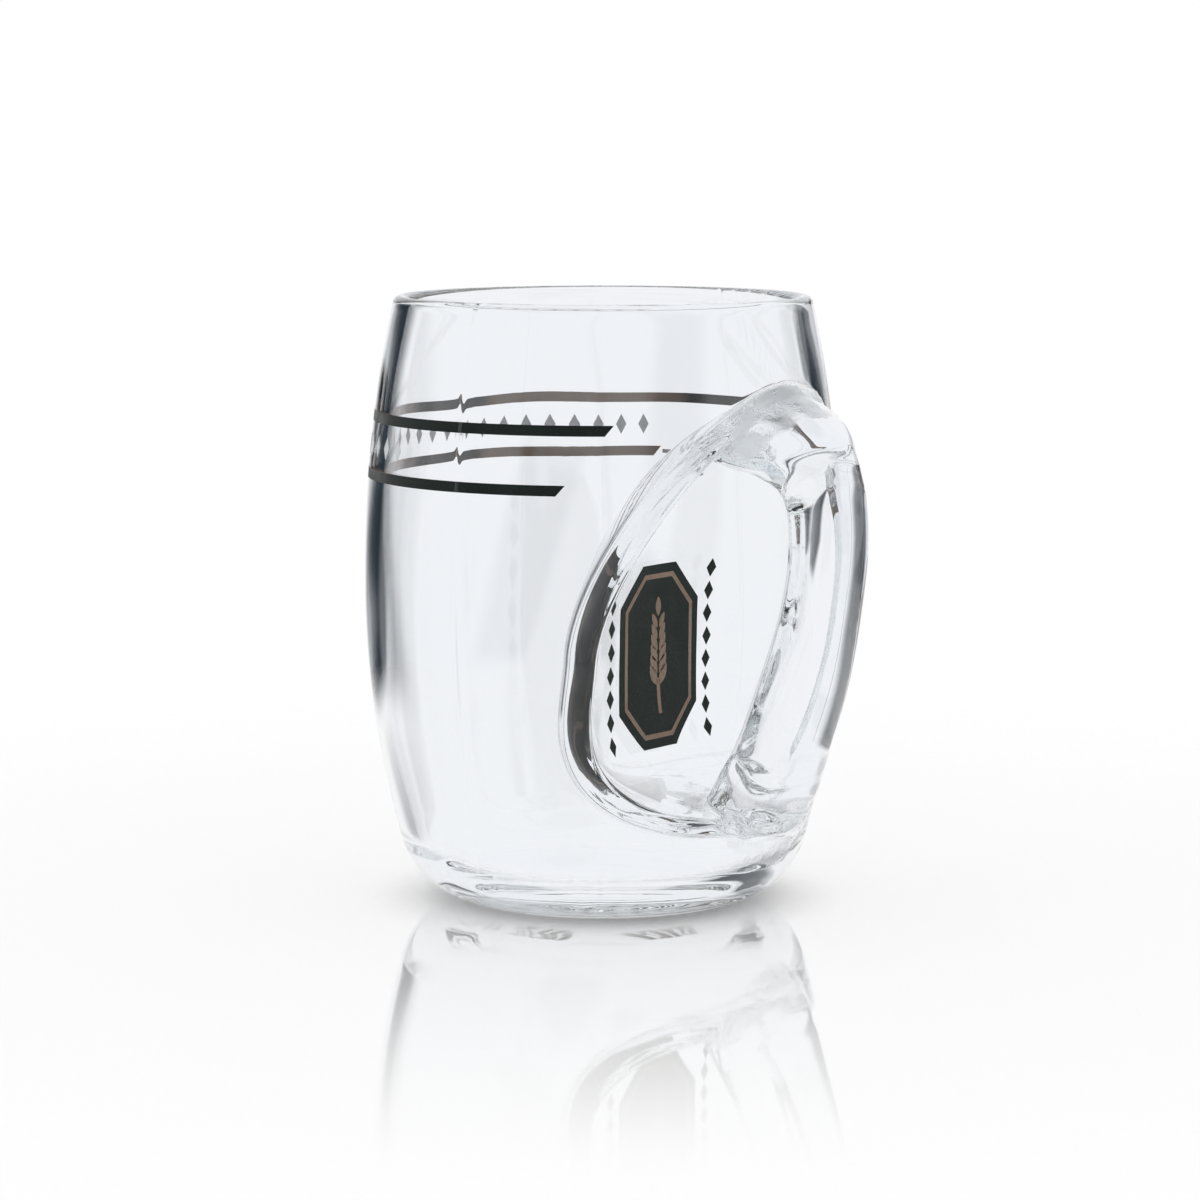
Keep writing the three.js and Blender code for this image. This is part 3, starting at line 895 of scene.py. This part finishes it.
def octagon_corners(inset):
    """The eight corners (y, z) of the field's outline, set in by a distance."""
    w, h = EMBLEM_WIDTH / 2 - inset, EMBLEM_HEIGHT / 2 - inset
    c = EMBLEM_CORNER - inset * (2 - math.sqrt(2))
    y = np.array([w, w, w - c, c - w, -w, -w, c - w, w - c])
    z = np.array([c - h, h - c, h, h, h - c, c - h, -h, -h])
    return np.stack([y, EMBLEM_LEVEL + z], -1)


def octagon_outline(inset, steps):
    """Points along the eight sides, steps to a side."""
    corners = octagon_corners(inset)
    share = np.arange(steps)[None, :, None] / steps
    return (corners[:, None] * (1 - share) + np.roll(corners, -1, 0)[:, None] * share).reshape(-1, 2)


def field_shell():
    """Rows of the octagon from foot to top, each as wide as the outline is there."""
    half = EMBLEM_HEIGHT / 2
    side = half - EMBLEM_CORNER
    rise = np.unique(np.concatenate([np.linspace(-half, half, 40), [-side, side]]))
    width = EMBLEM_WIDTH / 2 - np.maximum(np.abs(rise) - side, 0)
    share = np.linspace(-1, 1, 30)[None, :]
    return print_shell(on_hollow, width[:, None] * share, EMBLEM_LEVEL + rise[:, None] + 0 * share)


def frame_shell():
    """A strip between two octagons, one inside the other."""
    outer, inner = octagon_outline(FRAME_INSET, 12), octagon_outline(FRAME_INSET + FRAME_LINE, 12)
    share = np.linspace(0, 1, 3)[None, :, None]
    y, z = np.moveaxis(outer[:, None] * (1 - share) + inner[:, None] * share, -1, 0)
    return print_shell(on_hollow, y, z, LUSTRE_PROUD, True)


emblem_field = make_print("emblem_field_ink", [field_shell()], "dark_print", "emblem_field")
emblem_frame = make_print("emblem_frame_ink", [frame_shell()], "lustre_print", "emblem_frame")

# %% The barley ear
EAR_HEIGHT = 33.0
EAR_WIDTH = 10.0
EAR_GRAINS = 6
STEM_WIDTH = 1.6
STEM_LENGTH = 8.25
GRAIN_TAPER = 0.06
GRAIN_LEAN = math.radians(30)
GRAIN_SIDE = 0.55
STEM_BEND = 1.2


def grain_shell(y, z, length, width, lean):
    """A pointed oval: half width times sin(pi t)^0.8 along its length, leaned to a side about its foot."""
    t = np.linspace(0.01, 0.99, 17)[:, None]
    s = np.linspace(-1, 1, 7)[None, :]
    side = width / 2 * np.sin(math.pi * t) ** 0.8 * s
    along = length * t + 0 * s
    return print_shell(
        on_hollow,
        y + side * math.cos(lean) + along * math.sin(lean),
        z + along * math.cos(lean) - side * math.sin(lean),
        LUSTRE_PROUD,
    )


def ear_shells():
    """Pairs of grains up a stem, smaller towards the top, and one grain at the tip."""
    foot = EMBLEM_LEVEL - EAR_HEIGHT / 2
    grain_foot = foot + STEM_LENGTH
    pitch = (EAR_HEIGHT - STEM_LENGTH) / (EAR_GRAINS + 1.6)
    shells = [grain_shell(0, grain_foot + EAR_GRAINS * pitch, pitch * 1.7, EAR_WIDTH * 0.26, 0)]
    for k in range(EAR_GRAINS):
        size = 1 - GRAIN_TAPER * k
        length, width = pitch * 2.1 * size, EAR_WIDTH * 0.3 * size
        for side in (-1, 1):
            place, lean = side * GRAIN_SIDE, side * GRAIN_LEAN
            shells.append(grain_shell(place, grain_foot + k * pitch, length, width, lean))
    t, s = np.linspace(0, 1, 12)[:, None], np.linspace(-0.5, 0.5, 3)[None, :]
    stem_y = STEM_BEND * (1 - t) ** 2 + STEM_WIDTH * s
    stem_z = foot + (STEM_LENGTH + 2) * t + 0 * s
    shells.append(print_shell(on_hollow, stem_y, stem_z, LUSTRE_PROUD))
    return shells


barley_ear = make_print("barley_ear_ink", ear_shells(), "lustre_print", "barley_ear")

# %% Columns of lozenges beside the emblem
COLUMN_GAP = 4.5
COLUMN_COUNT = 8
COLUMN_INSET = 3

column_reach = EMBLEM_HEIGHT / 2 - COLUMN_INSET
column_levels = np.linspace(EMBLEM_LEVEL - column_reach, EMBLEM_LEVEL + column_reach, COLUMN_COUNT)
lozenge_columns = make_print(
    "lozenge_columns",
    [
        lozenge(side * (EMBLEM_WIDTH / 2 + COLUMN_GAP), level, LOZENGE_WIDTH, LOZENGE_HEIGHT * 0.9, on_hollow)
        for side in (-1, 1)
        for level in column_levels
    ],
    "dark_print",
)

# %% [markdown]
# ## Inks
#
# Fired enamel isn't one flat colour: it is laid on through a screen, so it is a little cloudy and full
# of fine specks, and it dulls where it is thick. One node group makes clouds, specks and a height from
# the place on the mug, and each ink uses them in its own colours. The bands are dark from outside, but
# from inside, through the glass, their lustre shows bronze, with stretches of painted reflection: there
# the bronze is painted dark where the lustre would mirror dark surroundings.


# %% The ink's grain
CLOUDS_PER_METRE = 90.0
SPECKS_PER_METRE = 2600.0
CLOUD_STEP = (0.3, 0.7)
SPECK_STEP = (0.56, 0.72)


def ink_group():
    """A node group: Clouds and Specks from 0 to 1 and a Height, from the place on the mug."""
    tree = bpy.data.node_groups.new("ink_grain", "ShaderNodeTree")
    for name in ("Clouds", "Specks", "Height"):
        tree.interface.new_socket(name, in_out="OUTPUT", socket_type="NodeSocketFloat")
    nodes, links = tree.nodes, tree.links
    place = nodes.new("ShaderNodeTexCoord").outputs["Object"]
    output = nodes.new("NodeGroupOutput")
    clouds = noise(nodes, links, place, CLOUDS_PER_METRE, 3.0)
    specks = noise(nodes, links, place, SPECKS_PER_METRE, 2.0)
    links.new(smooth_step(nodes, links, clouds, *CLOUD_STEP), output.inputs["Clouds"])
    links.new(smooth_step(nodes, links, specks, *SPECK_STEP), output.inputs["Specks"])
    links.new(specks, output.inputs["Height"])
    return tree


def mix_colour(nodes, links, share, first, second):
    """A Mix node between two colours, each a tuple or a socket."""
    node = nodes.new("ShaderNodeMix")
    node.data_type = "RGBA"
    links.new(share, node.inputs["Factor"])
    for socket, value in ((node.inputs[6], first), (node.inputs[7], second)):
        if isinstance(value, tuple):
            socket.default_value = value
        else:
            links.new(value, socket)
    return node.outputs[2]


INK_GROUP = ink_group()
print("the inks share the group", INK_GROUP.name)

# %% One ink
INK_SPECULAR = 0.12
ROUGHNESS_SPREAD = 0.08
GRAIN_STRENGTH = 0.25
GRAIN_HEIGHT = 0.02


def ink_material(name, dark, light, speck, roughness, metallic, under=None):
    """Cloudy, speckled ink; under, if given, makes the colour of the side seen through the glass."""
    material, nodes, links = new_material(name)
    grain = nodes.new("ShaderNodeGroup")
    grain.node_tree = INK_GROUP
    colour = mix_colour(nodes, links, grain.outputs["Clouds"], dark, light)
    colour = mix_colour(nodes, links, grain.outputs["Specks"], colour, speck)
    if under:
        side = nodes.new("ShaderNodeAttribute")
        side.attribute_name = "under"
        colour = mix_colour(nodes, links, side.outputs["Fac"], colour, under(nodes, links, grain))
    shader = nodes.new("ShaderNodeBsdfPrincipled")
    shader.inputs["Metallic"].default_value = metallic
    shader.inputs["Specular IOR Level"].default_value = INK_SPECULAR
    links.new(colour, shader.inputs["Base Color"])
    spread = (roughness - ROUGHNESS_SPREAD, roughness + ROUGHNESS_SPREAD)
    rough = smooth_step(nodes, links, grain.outputs["Clouds"], 0.0, 1.0, *spread)
    links.new(rough, shader.inputs["Roughness"])
    bump = nodes.new("ShaderNodeBump")
    bump.inputs["Strength"].default_value = GRAIN_STRENGTH
    bump.inputs["Distance"].default_value = GRAIN_HEIGHT * MM
    links.new(grain.outputs["Height"], bump.inputs["Height"])
    links.new(bump.outputs["Normal"], shader.inputs["Normal"])
    output = nodes.new("ShaderNodeOutputMaterial")
    links.new(shader.outputs["BSDF"], output.inputs["Surface"])
    return material


# %% The bands from inside
BRONZE = (0.225, 0.16, 0.118, 1)
BRONZE_LIGHT = (0.29, 0.215, 0.165, 1)
NEAR_BLACK = (0.004, 0.007, 0.006, 1)
# Painted reflection: where the bands are painted dark from inside, as if the lustre mirrored dark
# surroundings; turns in degrees, as pairs of start and end
PAINTED_REFLECTION_TURNS = ((80, 101), (161, 188))
PAINTED_REFLECTION_ENDS = (4, 2)


def band_under_painted_reflection(nodes, links, grain):
    """Bronze from inside, with painted reflection: dark over the stretches where the lustre would mirror dark
    surroundings, with soft ends.
    """
    parts = nodes.new("ShaderNodeSeparateXYZ")
    links.new(nodes.new("ShaderNodeTexCoord").outputs["Object"], parts.inputs[0])
    turn = math_node(nodes, links, "ARCTAN2", parts.outputs["Y"], parts.outputs["X"])
    turn = math_node(nodes, links, "MODULO", math_node(nodes, links, "ADD", turn, 2 * math.pi), 2 * math.pi)
    outer, inner = PAINTED_REFLECTION_ENDS
    # Painted reflection: each stretch darkens the bronze where the lustre would mirror dark surroundings
    dark = None
    for start, end in PAINTED_REFLECTION_TURNS:
        rise = smooth_step(nodes, links, turn, math.radians(start - outer), math.radians(start + inner))
        fall = smooth_step(nodes, links, turn, math.radians(end - inner), math.radians(end + outer), 1.0, 0.0)
        painted_reflection_stretch = math_node(nodes, links, "MINIMUM", rise, fall)
        dark = math_node(nodes, links, "MAXIMUM", dark, painted_reflection_stretch) if dark else painted_reflection_stretch
    bronze = mix_colour(nodes, links, grain.outputs["Clouds"], BRONZE, BRONZE_LIGHT)
    return mix_colour(nodes, links, dark, bronze, NEAR_BLACK)


# %% The four inks
DARK_GREEN = (0.007, 0.012, 0.0105, 1)
DARK_GREEN_LIGHT = (0.015, 0.024, 0.021, 1)
PALE = (0.5, 0.52, 0.53, 1)
PALE_LIGHT = (0.62, 0.64, 0.65, 1)
FIELD_SPECK = (0.03, 0.042, 0.038, 1)
LUSTRE_SPECK = (0.12, 0.085, 0.062, 1)
PALE_SPECK = (0.36, 0.37, 0.38, 1)

band_ink = ink_material(
    "band_ink", NEAR_BLACK, DARK_GREEN, DARK_GREEN_LIGHT, roughness=0.42, metallic=0.0, under=band_under_painted_reflection
)
field_ink = ink_material("field_ink", DARK_GREEN, DARK_GREEN_LIGHT, FIELD_SPECK, roughness=0.45, metallic=0.0)
lustre_ink = ink_material("lustre_ink", BRONZE, BRONZE_LIGHT, LUSTRE_SPECK, roughness=0.45, metallic=0.35)
pale_ink = ink_material("pale_ink", PALE, PALE_LIGHT, PALE_SPECK, roughness=0.6, metallic=0.0)
for piece, ink in (
    (upper_band, band_ink), (lower_band, band_ink), (fill_mark, pale_ink), (lozenge_row, pale_ink),
    (emblem_field, field_ink), (lozenge_columns, field_ink),
    (emblem_frame, lustre_ink), (barley_ear, lustre_ink),
):
    piece.data.materials.append(ink)
    print(piece.name, "is printed in", ink.name)

# %% [markdown]
# ## The studio
#
# Glass shows its surroundings and little else. White all round would make it vanish, so a studio for
# glass is pale with dark cards beside the glass: the edges bend the view sideways into a card and turn
# into dark lines. Here a tall and a low card stand on two sides, each leaning a little, so that the mug
# reads well from most places. Only what the glass bends or mirrors meets the pale walls and the cards.
# The camera, the matt floor and the floor's own mirror, which is never quite sharp, see plain white.

# %% World
world = bpy.data.worlds.new("studio")
world.use_nodes = True
bpy.context.scene.world = world
w_nodes, w_links = world.node_tree.nodes, world.node_tree.links
w_nodes.clear()


def world_math(operation, *values):
    """A Math node in the world."""
    return math_node(w_nodes, w_links, operation, *values)


def between(value, begin, end):
    """1 between two soft steps and 0 outside them."""
    rise = smooth_step(w_nodes, w_links, value, *begin)
    return world_math("MULTIPLY", rise, smooth_step(w_nodes, w_links, value, *end, 1.0, 0.0))


# %% Cards
CARD_PAIRS = 2
CARD_TURN = CAMERA_TURN
# Turns in degrees where a card begins and ends, its lean in radians, and heights of its foot and top
TALL_CARD = ((14, 24), (44, 52), 0.6, (-0.27, -0.2), (0.3, 0.45))
LOW_CARD = ((-53, -47), (-24, -17), 1.3, (-0.27, -0.2), (0.1, 0.17))

parts = w_nodes.new("ShaderNodeSeparateXYZ")
w_links.new(w_nodes.new("ShaderNodeTexCoord").outputs["Generated"], parts.inputs[0])
height = parts.outputs["Z"]
turn = world_math("ARCTAN2", parts.outputs["X"], world_math("MULTIPLY", parts.outputs["Y"], -1.0))
half_pitch = math.pi / CARD_PAIRS
turn_here = world_math("WRAP", world_math("SUBTRACT", turn, CARD_TURN), half_pitch, -half_pitch)


def dark_card(begin, end, lean, foot, top):
    """1 on a card and 0 beside it; its sides lean by a turn for each unit of height."""
    upright = world_math("MULTIPLY_ADD", height, -lean, turn_here)
    across = between(upright, np.radians(begin), np.radians(end))
    return world_math("MULTIPLY", across, between(height, foot, top))


cards = world_math("MAXIMUM", dark_card(*TALL_CARD), dark_card(*LOW_CARD))
print("the studio has", 2 * CARD_PAIRS, "dark cards")

# %% What the glass sees and what the rest sees
CARD_TINT = (0.022, 0.032, 0.042, 1)
WALL_TINT = (0.9, 0.912, 0.935, 1)
WHITE = (1.0, 1.0, 1.0, 1)

path = w_nodes.new("ShaderNodeLightPath")
mirrored = world_math("SUBTRACT", path.outputs["Is Singular Ray"], path.outputs["Is Camera Ray"])
bent = world_math("MAXIMUM", mirrored, world_math("GREATER_THAN", path.outputs["Transmission Depth"], 0.5))
sharp = world_math("MULTIPLY", bent, world_math("LESS_THAN", path.outputs["Diffuse Depth"], 0.5))
room = mix_colour(w_nodes, w_links, cards, WALL_TINT, CARD_TINT)
background = w_nodes.new("ShaderNodeBackground")
w_links.new(mix_colour(w_nodes, w_links, sharp, WHITE, room), background.inputs["Color"])
world.cycles.sampling_method = "NONE"
world_output = w_nodes.new("ShaderNodeOutputWorld")
w_links.new(background.outputs["Background"], world_output.inputs["Surface"])
print("the world has", len(w_nodes), "nodes")

# %% [markdown]
# ## The floor
#
# The mug stands on a polished white sheet. Its reflection is strong at the foot and fades out towards
# the camera, so the floor is a white matt shader with a mirror mixed in by the distance from the mug.
# The glass shows the sheet as pale as the walls, and the camera sees the shadow that the mug throws.

# %% The floor's finish
# Shares and roughness of the mirror, and distances from the axis in metres over which it comes and goes
MIRROR_SHARE = 0.7
MIRROR_ROUGHNESS = 0.03
MIRROR_START = (0.04, 0.072)
MIRROR_FADE = (0.04, 0.32)
EDGE_FADE = (0.28, 0.42)


def mix_shader(nodes, links, share, first, second):
    """A Mix Shader node between two shaders."""
    node = nodes.new("ShaderNodeMixShader")
    for socket, value in zip(node.inputs, (share, first, second)):
        links.new(value, socket)
    return node.outputs[0]


def floor_material():
    """Matt white, mirror near the foot, clear at the rim where the sheet meets the white background."""
    material, nodes, links = new_material("floor_white")
    place = nodes.new("ShaderNodeTexCoord")
    flat = nodes.new("ShaderNodeVectorMath")
    flat.operation = "LENGTH"
    links.new(place.outputs["Object"], flat.inputs[0])
    mirror_share = smooth_step(nodes, links, flat.outputs["Value"], *MIRROR_FADE, MIRROR_SHARE, 0.0)
    outside_foot = smooth_step(nodes, links, flat.outputs["Value"], *MIRROR_START)
    mirror_share = math_node(nodes, links, "MULTIPLY", mirror_share, outside_foot)
    rim_share = smooth_step(nodes, links, flat.outputs["Value"], *EDGE_FADE)
    matt = nodes.new("ShaderNodeBsdfDiffuse")
    matt.inputs["Color"].default_value = WHITE
    mirror = nodes.new("ShaderNodeBsdfGlossy")
    mirror.inputs["Color"].default_value = WHITE
    mirror.inputs["Roughness"].default_value = MIRROR_ROUGHNESS
    glow = nodes.new("ShaderNodeEmission")
    glow.inputs["Color"].default_value = WALL_TINT
    material.cycles.emission_sampling = "NONE"
    clear = nodes.new("ShaderNodeBsdfTransparent")
    through_glass = nodes.new("ShaderNodeLightPath").outputs["Is Transmission Ray"]
    sheet = mix_shader(nodes, links, through_glass, matt.outputs[0], glow.outputs[0])
    polished = mix_shader(nodes, links, mirror_share, sheet, mirror.outputs[0])
    output = nodes.new("ShaderNodeOutputMaterial")
    links.new(mix_shader(nodes, links, rim_share, polished, clear.outputs[0]), output.inputs["Surface"])
    return material


# %% Floor
FLOOR_RADIUS = 420.0
FLOOR_BELOW = 0.3


def floor_sheet():
    """Rings round the axis on one level."""
    turn = np.linspace(0, 2 * math.pi, 96, endpoint=False)
    radius = np.linspace(5, FLOOR_RADIUS, 24)[:, None]
    x, y = radius * np.cos(turn), radius * np.sin(turn)
    return np.stack([x, y, np.full_like(x, -FLOOR_BELOW)], -1)


floor_points = floor_sheet()
floor_faces = sheet_quads(*floor_points.shape[:2], False, True)
floor_middle = fan(np.arange(floor_points.shape[1]), floor_points[..., 0].size, True)
floor_vertices = np.concatenate([floor_points.reshape(-1, 3), [[0, 0, -FLOOR_BELOW]]])
floor = make_piece("floor", (floor_vertices, [floor_faces, floor_middle]))
floor.data.materials.append(floor_material())

# %% [markdown]
# ## Picture settings
#
# The Standard view shows colours as they are written. Light that is caught in thick glass needs many
# bounces to come out again, and with few of them the rim and the base would turn black.

# %% Picture settings
BOUNCES = 256

bpy.context.scene.view_settings.view_transform = "Standard"
cycles = bpy.context.scene.cycles
cycles.max_bounces = cycles.transmission_bounces = cycles.glossy_bounces = BOUNCES
